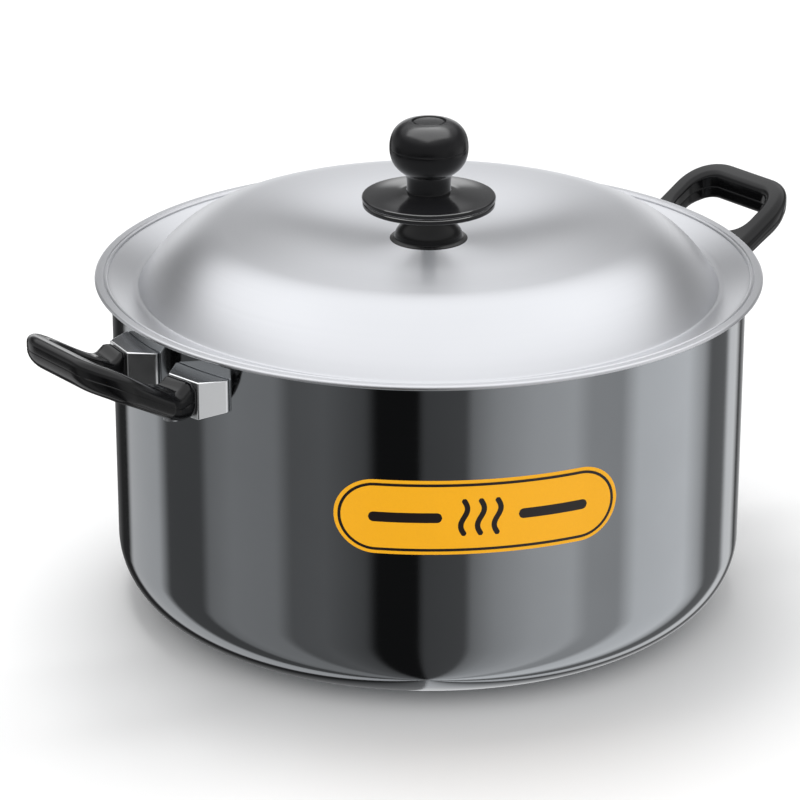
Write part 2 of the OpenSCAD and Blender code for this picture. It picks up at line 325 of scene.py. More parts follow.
def anodised_aluminium(shade):
    """Spun aluminium, hard-anodised to a dark charcoal film over a fine polished ground.

    The eye sees clean-edged upright reflections in a dark, cool grey, with a very fine grain.
    Draw lines are about 0.8 mm apart and run round the wall; the grain of the film is near 0.4 mm.
    """
    made, tree, place = blank("anodised_aluminium")
    drawn = node(tree, "ShaderNodeMapping", {"Vector": place, "Scale": (8, 8, 1200)})
    lines = node(tree, "ShaderNodeTexNoise", {"Vector": drawn.outputs[0], "Scale": 1.0, "Detail": 3.0})
    cloud = node(tree, "ShaderNodeTexNoise", {"Vector": place, "Scale": 22.0, "Detail": 4.0})
    grain = node(tree, "ShaderNodeTexNoise", {"Vector": place, "Scale": 2500.0, "Detail": 2.0})
    base = node(tree, "ShaderNodeMix", {"Factor": cloud.outputs[0], "A": tinted(shade, 0.93),
                                        "B": tinted(shade, 1.07)}, data_type="RGBA")
    rough = node(tree, "ShaderNodeMapRange", {"Value": lines.outputs[0], "From Min": 0.3, "From Max": 0.7,
                                              "To Min": 0.05, "To Max": 0.08})
    relief = node(tree, "ShaderNodeMath", {0: lines.outputs[0], 1: grain.outputs[0]}, operation="ADD")
    bump = node(tree, "ShaderNodeBump", {"Height": relief.outputs[0], "Strength": 0.03, "Distance": 0.0001})
    film = node(tree, "ShaderNodeBsdfPrincipled", {
        "Base Color": base.outputs["Result"], "Metallic": 1.0, "Roughness": rough.outputs[0],
        "Normal": bump.outputs[0]})
    node(tree, "ShaderNodeOutputMaterial", {"Surface": film.outputs[0]})
    return made


def satin_steel(shade):
    """Stainless steel, pressed and then satin-polished on a spindle.

    The eye sees soft, wide reflections that fan out from the centre, over rings about 1.2 mm apart that
    barely show.
    """
    made, tree, place = blank("satin_stainless_steel")
    flat = node(tree, "ShaderNodeVectorMath", {0: place, 1: (1, 1, 0)}, operation="MULTIPLY")
    radius = node(tree, "ShaderNodeVectorMath", {0: flat.outputs[0]}, operation="LENGTH")
    rings = node(tree, "ShaderNodeTexNoise", {"W": radius.outputs["Value"], "Scale": 850.0, "Detail": 2.0},
                 noise_dimensions="1D")
    cloud = node(tree, "ShaderNodeTexNoise", {"Vector": place, "Scale": 14.0, "Detail": 3.0})
    base = node(tree, "ShaderNodeMix", {"Factor": cloud.outputs[0], "A": tinted(shade, 0.96),
                                        "B": tinted(shade, 1.03)}, data_type="RGBA")
    rough = node(tree, "ShaderNodeMapRange", {"Value": rings.outputs[0], "From Min": 0.3, "From Max": 0.7,
                                              "To Min": 0.35, "To Max": 0.38})
    bump = node(tree, "ShaderNodeBump", {"Height": rings.outputs[0], "Strength": 0.01, "Distance": 0.0001})
    around = node(tree, "ShaderNodeTangent", direction_type="RADIAL", axis="Z")
    metal = node(tree, "ShaderNodeBsdfPrincipled", {
        "Base Color": base.outputs["Result"], "Metallic": 1.0, "Roughness": rough.outputs[0],
        "Anisotropic": 0.75, "Anisotropic Rotation": 0.25, "Normal": bump.outputs[0],
        "Tangent": around.outputs[0]})
    node(tree, "ShaderNodeOutputMaterial", {"Surface": metal.outputs[0]})
    return made


def polished_casting(shade):
    """Aluminium die casting, tumbled and polished.

    The eye sees a bright metal with a slight ripple about 5 mm across, specks of about 0.6 mm and softly
    rounded bright edges.
    """
    made, tree, place = blank("polished_cast_aluminium")
    ripple = node(tree, "ShaderNodeTexNoise", {"Vector": place, "Scale": 200.0, "Detail": 2.0})
    specks = node(tree, "ShaderNodeTexNoise", {"Vector": place, "Scale": 1800.0, "Detail": 2.0})
    base = node(tree, "ShaderNodeMix", {"Factor": specks.outputs[0], "A": tinted(shade, 0.97),
                                        "B": tinted(shade, 1.02)}, data_type="RGBA")
    rough = node(tree, "ShaderNodeMapRange", {"Value": ripple.outputs[0], "To Min": 0.19, "To Max": 0.25})
    bump = node(tree, "ShaderNodeBump", {"Height": ripple.outputs[0], "Strength": 0.03, "Distance": 0.0002})
    metal = node(tree, "ShaderNodeBsdfPrincipled", {
        "Base Color": base.outputs["Result"], "Metallic": 1.0, "Roughness": rough.outputs[0],
        "Normal": bump.outputs[0]})
    node(tree, "ShaderNodeOutputMaterial", {"Surface": metal.outputs[0]})
    return made


def moulded_phenolic(name, shade, low, high, shine):
    """Black phenolic resin, compression-moulded. low and high bound its roughness; shine is its specular.

    The eye sees a deep black with clean reflections that dull slightly in patches about 6 mm across, over
    a filler grain of about 0.5 mm.
    """
    made, tree, place = blank(name)
    buff = node(tree, "ShaderNodeTexNoise", {"Vector": place, "Scale": 160.0, "Detail": 3.0})
    flour = node(tree, "ShaderNodeTexNoise", {"Vector": place, "Scale": 2200.0, "Detail": 2.0})
    base = node(tree, "ShaderNodeMix", {"Factor": flour.outputs[0], "A": tinted(shade, 0.6),
                                        "B": tinted(shade, 1.4)}, data_type="RGBA")
    rough = node(tree, "ShaderNodeMapRange", {"Value": buff.outputs[0], "From Min": 0.3, "From Max": 0.7,
                                              "To Min": low, "To Max": high})
    bump = node(tree, "ShaderNodeBump", {"Height": buff.outputs[0], "Strength": 0.03, "Distance": 0.0002})
    resin = node(tree, "ShaderNodeBsdfPrincipled", {
        "Base Color": base.outputs["Result"], "Roughness": rough.outputs[0], "IOR": 1.6,
        "Specular IOR Level": shine, "Normal": bump.outputs[0]})
    node(tree, "ShaderNodeOutputMaterial", {"Surface": resin.outputs[0]})
    return made


def printed_film(name, shade, gloss):
    """Screen-printed colour under a clear laminate, with gloss as the laminate's weight.

    The eye sees a flat strong colour, faintly uneven about every millimetre where the ink laid down, under
    a thin clean sheen.
    """
    made, tree, place = blank(name)
    lay = node(tree, "ShaderNodeTexNoise", {"Vector": place, "Scale": 900.0, "Detail": 2.0})
    ground = node(tree, "ShaderNodeMix", {"Factor": lay.outputs[0], "A": tinted(shade, 0.96),
                                          "B": tinted(shade, 1.03)}, data_type="RGBA")
    film = node(tree, "ShaderNodeBsdfPrincipled", {
        "Base Color": ground.outputs["Result"], "Roughness": 0.38, "Specular IOR Level": 0.3, "IOR": 1.5,
        "Coat Weight": gloss, "Coat Roughness": 0.08})
    node(tree, "ShaderNodeOutputMaterial", {"Surface": film.outputs[0]})
    return made


def plated_fastener(name, code, low, high, patch):
    """A small metal part with a mottled finish whose patches are patch metres across."""
    made, tree, place = blank(name)
    cloud = node(tree, "ShaderNodeTexNoise", {"Vector": place, "Scale": 1 / patch, "Detail": 4.0})
    base = node(tree, "ShaderNodeMix", {"Factor": cloud.outputs[0], "A": tinted(srgb(code), 0.85),
                                        "B": tinted(srgb(code), 1.1)}, data_type="RGBA")
    rough = node(tree, "ShaderNodeMapRange", {"Value": cloud.outputs[0], "To Min": low, "To Max": high})
    bump = node(tree, "ShaderNodeBump", {"Height": cloud.outputs[0], "Strength": 0.1, "Distance": 0.0001})
    metal = node(tree, "ShaderNodeBsdfPrincipled", {
        "Base Color": base.outputs["Result"], "Metallic": 1.0, "Roughness": rough.outputs[0],
        "Normal": bump.outputs[0]})
    node(tree, "ShaderNodeOutputMaterial", {"Surface": metal.outputs[0]})
    return made


def matt_floor(shade):
    """Matt painted board. The eye sees an even pale ground with faint clouds half a metre wide."""
    made, tree, place = blank("matt_pale_floor")
    cloud = node(tree, "ShaderNodeTexNoise", {"Vector": place, "Scale": 2.0, "Detail": 2.0})
    base = node(tree, "ShaderNodeMix", {"Factor": cloud.outputs[0], "A": tinted(shade, 0.985),
                                        "B": tinted(shade, 1.0)}, data_type="RGBA")
    board = node(tree, "ShaderNodeBsdfPrincipled", {
        "Base Color": base.outputs["Result"], "Roughness": 0.9, "Specular IOR Level": 0.1})
    node(tree, "ShaderNodeOutputMaterial", {"Surface": board.outputs[0]})
    return made


# ---------------------------------------------------------------- outlines


def pot_outline(s):
    """Half section of the pot from the middle of its underside round to the middle of its floor."""
    inner = s.radius - s.wall
    bend = s.corner - s.wall
    middle = s.radius - s.corner
    core, gap, lead = 20 * MM, 4 * MM, 3 * MM
    return ([(0, 0)] + line((core, 0), (middle - gap, 0), 6)
            + arc((middle, s.corner), s.corner, -90, 0, 20)
            + line((s.radius, s.corner + lead), (s.radius, s.height - s.rim - 1 * MM), 12)
            + arc((s.radius - s.rim, s.height - s.rim), s.rim, 0, 90, 6)
            + arc((inner + s.rim, s.height - s.rim), s.rim, 90, 180, 6)
            + line((inner, s.height - s.rim - 1 * MM), (inner, s.base + bend + lead), 12)
            + arc((middle, s.base + bend), bend, 0, -90, 18)
            + line((middle - gap, s.base), (core, s.base), 6) + [(0, s.base)])


def lid_outline(s, pot):
    """Closed section of the lid: the top from the middle out, the rolled hem, and the underside back."""
    flange = s.crest - s.crown
    trough = flange - s.channel
    crease = pot.radius - 11.5 * MM
    crest_r = 0.7 * crease
    seat_r = 21 * MM
    seat = s.crest - s.dish
    span = crest_r - seat_r
    bead = pot.radius + 3.2 * MM
    step = 0.8 * MM
    hem = 0.95 * MM
    top = ([(0, seat), (8 * MM, seat), (16 * MM, seat)]
           + curve((seat_r, seat), (seat_r + 0.38 * span, seat),
                   (crest_r - 0.43 * span, s.crest - 0.6 * MM), (crest_r - 6 * MM, s.crest - 0.08 * MM), 24)
           + curve((crest_r, s.crest), (crest_r + 17.5 * MM, s.crest),
                   (crease - 8.5 * MM, trough + 13 * MM), (crease - 0.8 * MM, trough + 0.8 * MM), 36)
           + curve((crease - 0.4 * MM, trough + 0.2 * MM), (crease + 0.2 * MM, trough - 0.1 * MM),
                   (crease + 1.6 * MM, trough + 0.2 * MM), (crease + 3 * MM, trough + 0.9 * MM), 8)
           + line((crease + 3.6 * MM, trough + 1.13 * MM),
                  (bead - 2 * step - 0.4 * MM, flange - step - 0.25 * MM), 6)
           + [(bead - 2 * step, flange - step - 0.35 * MM)]
           + arc((bead - step, flange - step), 0.95 * step, 170, 15, 8)
           + [(bead + 0.1 * MM, flange - 0.6 * MM), (bead + 0.6 * MM, flange - 0.06 * MM),
              (bead + 1.2 * MM, flange)])
    rolled = arc((s.radius - hem, flange - hem), hem, 90, -180, 16)
    under = beside([(bead + 1.2 * MM, flange), (bead - step, flange - 0.4 * MM)]
                   + [p for p in reversed(top) if p[0] < bead - 2 * step], s.sheet)
    return top + rolled + [(s.radius - hem, flange - s.sheet - 0.2 * MM)] + under[:-1] + [(0, seat - s.sheet)]


def foot_outline(s, seat, disc):
    """Section of the knob's flared foot."""
    lip = 0.2 * MM
    collar = s.foot - 2.3 * MM
    waist = s.neck - 0.1 * MM
    tall = disc - seat
    return ([(0, seat), (s.foot - lip, seat)] + arc((s.foot - lip, seat + lip), lip, -90, 60, 5)
            + curve((s.foot - 1.2 * MM, seat + 0.6 * MM), (s.foot - 2.1 * MM, seat + 0.8 * MM),
                    (collar, seat + 0.9 * MM), (collar, seat + 1.4 * MM), 5)
            + curve((collar, seat + 1.8 * MM), (collar, seat + 0.33 * tall),
                    (s.neck + 1.5 * MM, seat + 0.42 * tall), (waist, seat + 0.67 * tall), 20)
            + [(waist, disc), (0, disc)])


def disc_outline(s, low, neck):
    """Section of the guard disc: a grooved edge under a shallow cone."""
    r = s.disc
    edge = low + 4.8 * MM
    groove_side = r - 0.45 * MM
    groove = r - 0.9 * MM
    return ([(0, low), (r - 3 * MM, low), (r - 1.2 * MM, low + 0.05 * MM)]
            + arc((r - 1.0 * MM, low + 0.75 * MM), 0.7 * MM, -80, 0, 5)
            + [(r - 0.3 * MM, low + 1.7 * MM), (groove_side, low + 1.95 * MM), (groove, low + 2.1 * MM),
               (groove, low + 2.6 * MM), (groove_side, low + 2.75 * MM), (r - 0.05 * MM, low + 3.0 * MM)]
            + arc((r - 0.8 * MM, edge - 0.8 * MM), 0.8 * MM, 0, 80, 6)
            + [(r - 1.6 * MM, edge + 0.05 * MM)]
            + line((r - 4 * MM, edge + 0.25 * MM), (s.neck + 3 * MM, neck - 0.5 * MM), 5)
            + [(s.neck + 0.9 * MM, neck), (0, neck)])


def head_outline(s, neck, ball, top):
    """Section of the neck and ball: a fine parting line at the widest place and a plain ring in the top."""
    tall = top - ball
    wide = ball + 0.49 * tall
    seam = 0.16 * MM
    ring_edge = 0.35 * MM
    ring_floor = top - 0.9 * MM
    return ([(0, neck), (s.neck + 0.2 * MM, neck), (s.neck, neck + 0.4 * MM), (s.neck, neck + 2.6 * MM)]
            + curve((s.neck, neck + s.neck_height / 3), (s.neck, ball - 3.4 * MM),
                    (s.neck + 0.2 * MM, ball - 1.8 * MM), (s.neck + 0.9 * MM, ball - 0.5 * MM), 10)
            + curve((s.neck + 1.3 * MM, ball), (s.ball - 3.1 * MM, ball + 2.2 * MM),
                    (s.ball - 0.1 * MM, ball + 4.9 * MM), (s.ball, wide - seam), 20)
            + [(s.ball - seam, wide)]
            + curve((s.ball, wide + seam), (s.ball, top - 5.1 * MM), (s.ball - 3.6 * MM, top - 0.9 * MM),
                    (s.ring + 0.8 * MM, top - 0.12 * MM), 22)
            + arc((s.ring + 0.3 * MM, top - 0.4 * MM), ring_edge, 70, 180, 5)
            + [(s.ring - 0.3 * MM, ring_floor), (s.ring - 0.9 * MM, ring_floor)]
            + arc((s.ring - 1.35 * MM, top - 0.65 * MM), ring_edge, 0, 90, 5)
            + [(s.ring - 3.2 * MM, top - 0.18 * MM), (0, top)])


# ---------------------------------------------------------------- handles and brackets


def bracket_turn(handle, bracket, face):
    """Angle from the handles' line to the middle of a bracket."""
    return math.asin((handle.half_width - handle.root + bracket.end / 2) / face)


def handle_sides(handle, bracket, face):
    """The top and the underside of a handle as outlines over the distance from the pot's axis."""
    top, low, tip = bracket.top, bracket.top - bracket.height, handle.tip
    start = face - 4 * MM

    def rise(u):
        return (u - face) * math.tan(handle.rise)

    upper = ([(start, top), (face + 1.2 * MM, top)]
             + curve((face + 1.6 * MM, top - 0.1 * MM), (face + 3.6 * MM, top - 2.6 * MM),
                     (face + 5.2 * MM, top - 3.5 * MM), (face + 9 * MM, top - 2.2 * MM), 16)
             + curve((face + 9.6 * MM, top - 1.9 * MM), (face + 22 * MM, top + 4.4 * MM),
                     (tip - 13 * MM, top + rise(tip - 9 * MM) - 3.2 * MM),
                     (tip, top + rise(tip) - 4.2 * MM), 30))
    lower = (curve((tip, low + rise(tip) - 0.6 * MM), (tip - 3 * MM, low + rise(tip) - 2.4 * MM),
                   (tip - 8 * MM, low + rise(tip) - 3.4 * MM),
                   (tip - 13 * MM, low + rise(tip - 13 * MM) - 0.4 * MM), 16)
             + curve((tip - 14 * MM, low + rise(tip - 14 * MM) - 0.4 * MM),
                     (tip - 26 * MM, low + rise(tip - 26 * MM)),
                     (face + 8 * MM, low + 0.3 * MM), (face + 2 * MM, low), 20)
             + [(start, low)])
    return upper, lower


def handle_stations(handle, face, turn):
    """Pairs of outer and inner plan points from one root round the loop to the middle of the grip."""
    half, arm, corner = handle.half_width, handle.arm, handle.corner
    inner_corner = corner - arm
    root_in = half - handle.root
    opening = face + 11 * MM

    def on_face(v):
        return ((face - v * math.sin(turn)) / math.cos(turn), v)

    bend = (handle.tip - corner, half - corner)
    hollow = (opening + inner_corner, half - arm - inner_corner)
    start = math.degrees(math.pi - math.asin((root_in - hollow[1]) / inner_corner))
    first = arc(hollow, inner_corner, start, 90, 16)
    outer = (line(on_face(half - 1.2 * MM), (face + 8 * MM, half - 0.1 * MM), 8)
             + line((face + 8.6 * MM, half), (first[-1][0] - 1 * MM, half), 16)[:-1]
             + line((first[-1][0], half), (bend[0], half), 3) + arc(bend, corner, 90, 0, 18)[1:]
             + line((handle.tip, bend[1]), (handle.tip, 0), 6)[1:])
    inner = (line(on_face(root_in), (first[0][0] - 1.2 * MM, root_in), 8) + first[:-1]
             + line(first[-1], (bend[0], first[-1][1]), 3) + arc(bend, inner_corner, 90, 0, 18)[1:]
             + line((handle.tip - arm, bend[1]), (handle.tip - arm, 0), 6)[1:])
    return list(zip(outer, inner))


def rounded_section(width, height, inset):
    """A rounded section as places across and up, each from 0 to 1, with a fine parting line on both sides."""
    seam, seam_half = 0.22 * MM, 0.45 * MM
    points = []
    # each corner's side, top or bottom, radius in millimetres and first angle
    corners = [(1, 1, 4.4, 0), (-1, 1, 2.4, 90), (-1, -1, 3.2, 180), (1, -1, 6.4, 270)]
    for side, top, radius, start in corners:
        r = radius * MM
        centre = (side * (width / 2 - r - inset), top * (height / 2 - r - inset))
        points += arc(centre, r, start, start + 90, 7)
        if side != top:
            reach = side * (width / 2 - inset)
            for z, depth in ((seam_half, 0), (0, seam), (-seam_half, 0)):
                points.append((reach - side * depth, -side * z))
    return [(x / width + 0.5, y / height + 0.5) for x, y in points]


def handle_shape(handle, bracket, pot):
    """Points and faces of the handle on the +X side."""
    face = pot.radius + bracket.out
    turn = bracket_turn(handle, bracket, face)
    upper, lower = handle_sides(handle, bracket, face)
    half = handle_stations(handle, face, turn)
    mirrored = [((a[0], -a[1]), (b[0], -b[1])) for a, b in reversed(half[:-1])]
    stations = half + mirrored
    # the first rings at each root are drawn in, which rounds its edge
    end_insets = [0.8 * MM, 0.2 * MM]
    rings = []
    for i, (outer, inner) in enumerate(stations):
        width = math.dist(outer, inner)
        middle = (outer[0] + inner[0]) / 2
        height = height_at(middle, upper) - height_at(middle, lower)
        from_end = min(i, len(stations) - 1 - i)
        inset = end_insets[from_end] if from_end < len(end_insets) else 0.0
        ring = []
        for a, b in rounded_section(width, height, inset):
            u = inner[0] + (outer[0] - inner[0]) * a
            v = inner[1] + (outer[1] - inner[1]) * a
            low, high = height_at(u, lower), height_at(u, upper)
            ring.append((u, v, low + (high - low) * b))
        rings.append(ring)
    return loft(rings)


def sink(target, places, radius, low, high):
    """Cuts upright round holes from low to high into a piece."""
    shape = bmesh.new()
    for x, y in places:
        spin = Matrix.Translation((x, y, (low + high) / 2))
        bmesh.ops.create_cone(shape, cap_ends=True, segments=48, radius1=radius, radius2=radius,
                              depth=high - low, matrix=spin)
    mesh = bpy.data.meshes.new("hole")
    shape.to_mesh(mesh)
    shape.free()
    cutter = bpy.data.objects.new("hole", mesh)
    bpy.context.collection.objects.link(cutter)
    cut = target.modifiers.new("Screw holes", "BOOLEAN")
    cut.object = cutter
    cut.solver = "EXACT"
    target.modifiers.move(len(target.modifiers) - 1, 0)
    view = bpy.context.evaluated_depsgraph_get()
    finished = bpy.data.meshes.new_from_object(target.evaluated_get(view))
    target.modifiers.clear()
    target.data = finished
    bpy.data.objects.remove(cutter)


def bracket_shape(bracket, pot):
    """Points and faces of a bracket on the +X axis, with its edges rounded."""
    face = pot.radius + bracket.out
    reach = math.degrees(math.asin(bracket.width / 2 / pot.radius))
    clear = 0.05 * MM
    side = pot.radius + 0.5 * MM
    rounding = 0.7 * MM
    plan = arc((0, 0), pot.radius + clear, -reach, reach, 14)
    plan += [(side, bracket.width / 2), (face, bracket.end / 2),
             (face, -bracket.end / 2), (side, -bracket.width / 2)]
    drop = bracket.height - bracket.wall_height
    shape = bmesh.new()
    tops = [shape.verts.new((u, v, bracket.top)) for u, v in plan]
    lows = [shape.verts.new((u, v, bracket.top - bracket.wall_height
                             - drop * max(0.0, u - pot.radius) / bracket.out)) for u, v in plan]
    shape.faces.new(tops)
    shape.faces.new(list(reversed(lows)))
    for i in range(len(plan)):
        n = (i + 1) % len(plan)
        shape.faces.new((lows[i], lows[n], tops[n], tops[i]))
    bmesh.ops.recalc_face_normals(shape, faces=shape.faces)
    shape.normal_update()
    crisp = [e for e in shape.edges if e.calc_face_angle(0) > math.radians(15)]
    bmesh.ops.bevel(shape, geom=crisp, offset=rounding, segments=4, profile=0.5, affect="EDGES",
                    clamp_overlap=True)
    shape.verts.index_update()
    verts = [v.co.copy() for v in shape.verts]
    faces = [tuple(v.index for v in f.verts) for f in shape.faces]
    shape.free()
    return verts, faces


def wrapped(x, z, radius):
    """The place on a cylinder round the axis of a point drawn flat, with x sideways and z up."""
    angle = math.asin(x / radius)
    return radius * math.cos(angle), radius * math.sin(angle), z


def label_shape(s, pot):
    """Points and faces of the label film, turned to face +X. Its edges come down almost to the wall."""
    sliver = 0.02 * MM
    round_end = s.height / 2
    straight = s.half_length - round_end
    rounded = [straight + round_end * math.sin(math.radians(a)) for a in range(3, 91, 3)]
    rounded[-1] -= sliver
    middle = [straight * i / 16 for i in range(-16, 17)]
    columns = [-x for x in reversed(rounded)] + middle + rounded
    verts, faces, rows = [], [], 13
    for x in columns:
        beyond = max(abs(x) - straight, 0)
        tall = math.sqrt(max(round_end ** 2 - beyond ** 2, 0))
        for k in range(rows):
            radius = pot.radius + (sliver if k in (0, rows - 1) else s.film)
            verts.append(wrapped(x, s.centre + tall * (2 * k / (rows - 1) - 1), radius))
    for i in range(len(columns) - 1):
        for k in range(rows - 1):
            a = i * rows + k
            faces.append((a, a + rows, a + rows + 1, a + 1))
    return verts, faces


def stroke(points, half_width, closed=False):
    """Pairs of flat points either side of a line. An open line gets round ends."""
    pairs = []
    count = len(points)
    for i, (x, z) in enumerate(points):
        a = points[(i - 1) % count if closed else max(i - 1, 0)]
        b = points[(i + 1) % count if closed else min(i + 1, count - 1)]
        across = Vector((a[1] - b[1], b[0] - a[0])).normalized()
        if not closed:
            end = min(math.dist((x, z), points[0]), math.dist((x, z), points[-1]))
            inside = max(half_width - end, 0.0) / half_width
            across *= math.sqrt(max(1 - inside ** 2, 0.0))
        pairs.append(((x + half_width * across.x, z + half_width * across.y),
                      (x - half_width * across.x, z - half_width * across.y)))
    return pairs + pairs[:1] if closed else pairs


def print_shape(s, pot):
    """Points and faces of the ink: a keyline, two plain bars and three strokes of steam."""
    inset = 2.1 * MM
    bend = s.height / 2 - inset
    straight = s.half_length - s.height / 2
    end = straight - 2 * MM
    keyline = (arc((straight, 0), bend, -90, 90, 40) + line((end, bend), (-end, bend), 40)
               + arc((-straight, 0), bend, 90, 270, 40) + line((-end, -bend), (end, -bend), 40))
    strokes = [stroke(keyline, 0.6 * MM, closed=True)]
    bar_centre, bar_reach, bar_half = 31 * MM, 15 * MM, 2.2 * MM
    for middle in (-bar_centre, bar_centre):
        strokes.append(stroke(line((middle - bar_reach, 0), (middle + bar_reach, 0), 60), bar_half))
    gap, sway, wave, steam_low, climb = 7, 1.4, 15, -8.2, 0.41
    for x in (-gap, 0, gap):
        steam = [(x * MM + sway * MM * math.sin(2 * math.pi * z / wave), z * MM)
                 for z in (steam_low + climb * i for i in range(41))]
        strokes.append(stroke(steam, 1.15 * MM))
    radius = pot.radius + s.film + 0.03 * MM
    verts, faces = [], []
    for pairs in strokes:
        for i, pair in enumerate(pairs):
            if i:
                a = len(verts)
                faces.append((a - 2, a - 1, a + 1, a))
            verts += [wrapped(x, s.centre + z, radius) for x, z in pair]
    return verts, faces


# ---------------------------------------------------------------- operators


class STEWPOT_OT_pot(bpy.types.Operator):
    """Build the pot's body and its rivets' finish"""
    bl_idname = "stewpot.pot"
    bl_label = "Pot"

    def execute(self, context):
        scene = context.scene
        finish = anodised_aluminium(scene.stewpot_finish.anodised)
        made = piece("pot_shell", lathe(pot_outline(scene.stewpot_pot)), finish, "pot", ["pot_body"])
        dull = plated_fastener("burnished_aluminium", "#B9BBBD", 0.25, 0.4, 3 * MM)
        dress([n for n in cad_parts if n.startswith("rivet_")], dull)
        return {"FINISHED"}


class STEWPOT_OT_label(bpy.types.Operator):
    """Build the plain label on the wall"""
    bl_idname = "stewpot.label"
    bl_label = "Label"

    def execute(self, context):
        scene = context.scene
        sizes, pot = scene.stewpot_label, scene.stewpot_pot
        amber = printed_film("printed_label_film", scene.stewpot_finish.amber, 0.25)
        film = piece("label_film", label_shape(sizes, pot), amber, "pot", ["label"],
                     turn=sizes.facing, sharp=180)
        ink = printed_film("label_ink", scene.stewpot_finish.ink, 0.2)
        marks = piece("label_print", print_shape(sizes, pot), ink, "pot", turn=sizes.facing, sharp=180)
        return {"FINISHED"}


class STEWPOT_OT_brackets(bpy.types.Operator):
    """Build the four cast brackets"""
    bl_idname = "stewpot.brackets"
    bl_label = "Brackets"

    def execute(self, context):
        scene = context.scene
        sizes, pot = scene.stewpot_bracket, scene.stewpot_pot
        finish = polished_casting(scene.stewpot_finish.casting)
        shape = bracket_shape(sizes, pot)
        turn = bracket_turn(scene.stewpot_handle, sizes, pot.radius + sizes.out)
        for side in ("right", "left"):
            for end, way in (("front", -1), ("rear", 1)):
                angle = way * turn if side == "right" else math.pi - way * turn
                name = f"bracket_{side}_{end}"
                made = piece(f"cast_{name}", shape, finish, "pot", [name], turn=angle)
        return {"FINISHED"}


class STEWPOT_OT_handles(bpy.types.Operator):
    """Build the two loop handles and finish their screws"""
    bl_idname = "stewpot.handles"
    bl_label = "Handles"

    def execute(self, context):
        scene = context.scene
        sizes, bracket, pot = scene.stewpot_handle, scene.stewpot_bracket, scene.stewpot_pot
        finish = moulded_phenolic("moulded_black_phenolic", scene.stewpot_finish.phenolic, 0.12, 0.18, 0.22)
        shape = handle_shape(sizes, bracket, pot)
        hole = 3.95 * MM
        below = low_of("screw_right_front") - 6 * MM
        sunk = low_of("screw_right_front") + 1.45 * MM
        for side, angle in (("right", 0.0), ("left", math.pi)):
            made = piece(f"loop_{side}", shape, finish, "pot", [f"handle_{side}"], turn=angle)
            places = []
            for end in ("front", "rear"):
                low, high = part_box(f"screw_{side}_{end}")
                places.append(((low[0] + high[0]) / 2, (low[1] + high[1]) / 2))
            sink(made, places, hole, below, sunk)
        zinc = plated_fastener("zinc_plated_steel", "#A9ABAD", 0.28, 0.42, 2 * MM)
        dress([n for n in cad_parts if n.startswith("screw_")], zinc)
        return {"FINISHED"}


class STEWPOT_OT_lid(bpy.types.Operator):
    """Build the pressed lid"""
    bl_idname = "stewpot.lid"
    bl_label = "Lid"

    def execute(self, context):
        scene = context.scene
        finish = satin_steel(scene.stewpot_finish.steel)
        shape = lathe(lid_outline(scene.stewpot_lid, scene.stewpot_pot), 320)
        made = piece("lid_pressing", shape, finish, "lid", ["lid_shell"])
        return {"FINISHED"}


class STEWPOT_OT_knob(bpy.types.Operator):
    """Build the knob's foot, guard disc and ball, and finish its fasteners"""
    bl_idname = "stewpot.knob"
    bl_label = "Knob"

    def execute(self, context):
        scene = context.scene
        sizes = scene.stewpot_knob
        soft = moulded_phenolic("buffed_black_phenolic", scene.stewpot_finish.phenolic, 0.2, 0.26, 0.12)
        clear = moulded_phenolic("polished_black_phenolic", scene.stewpot_finish.phenolic, 0.08, 0.12, 0.2)
        seat, disc, neck = low_of("knob_foot"), low_of("guard_disc"), low_of("knob_head")
        outlines = {
            "knob_foot": foot_outline(sizes, seat, disc),
            "guard_disc": disc_outline(sizes, disc, neck),
            "knob_head": head_outline(sizes, neck, neck + sizes.neck_height, high_of("knob_head")),
        }
        for name, outline in outlines.items():
            finish = clear if name == "guard_disc" else soft
            made = piece(f"moulded_{name}", lathe(outline, 128), finish, "lid", [name], sharp=50)
            # the satin lid is too coarse to show an image of the knob's low parts
            made.visible_glossy = name == "knob_head"
        steel = plated_fastener("bright_zinc_steel", "#B4B6B8", 0.25, 0.38, 2 * MM)
        dress(["knob_screw", "knob_washer", "knob_lock_washer"], steel)
        dress(["knob_insert"], plated_fastener("turned_brass", "#C9A24A", 0.2, 0.32, 2 * MM))
        return {"FINISHED"}


